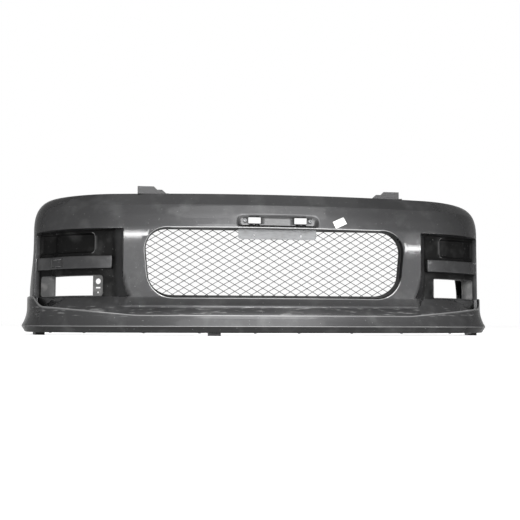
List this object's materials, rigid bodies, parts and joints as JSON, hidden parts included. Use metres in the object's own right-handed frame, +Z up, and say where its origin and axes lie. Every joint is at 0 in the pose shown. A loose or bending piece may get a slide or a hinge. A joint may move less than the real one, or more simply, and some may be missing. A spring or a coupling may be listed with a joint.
{
  "type": "front bumper cover",
  "caption": "Moulded front bumper cover for a car, with a lip spoiler, a mesh grille, deep fog lamp recesses, a plate seat and mounting brackets.",
  "frame": {"origin": "under the middle of the bounding box, on the surface that the feet stand on", "axes": "+Z up, the front faces -Y, +X to the right as seen from in front"},
  "size_m": [1.7398, 0.609, 0.513],
  "materials": {
    "paint": "metallic gloss",
    "black": "grained matte",
    "sheet": "matte",
    "dark_sheet": "satin",
    "steel": "satin",
    "nylon": "matte"
  },
  "bodies": {
    "cover": {"bumper_cover": "paint", "lip_spoiler": "paint", "grille_mesh": "steel", "mesh_retainer": "black", "mesh_screws": "steel", "plate_bracket": "sheet", "plate_bracket_rivets": "steel", "plate_nuts": "nylon", "fog_bracket_left": "black", "fog_bracket_right": "black", "fog_bracket_screws": "steel", "upper_bracket_left": "dark_sheet", "upper_bracket_right": "dark_sheet", "upper_bracket_rivets": "steel", "lip_screws": "steel", "lip_nuts": "steel", "foot_left": "black", "foot_right": "black", "centre_foot": "black", "foot_screws": "steel", "arch_nuts": "steel"},
    "access_cover": {"access_cover": "paint"}
  },
  "joints": [
    {"name": "access_hinge", "type": "hinge", "parent": "cover", "child": "access_cover", "pos_m": [-0.75299, -0.02256, 0.247], "axis": [0, 0, -1], "range_deg": [0, 80]}
  ]
}
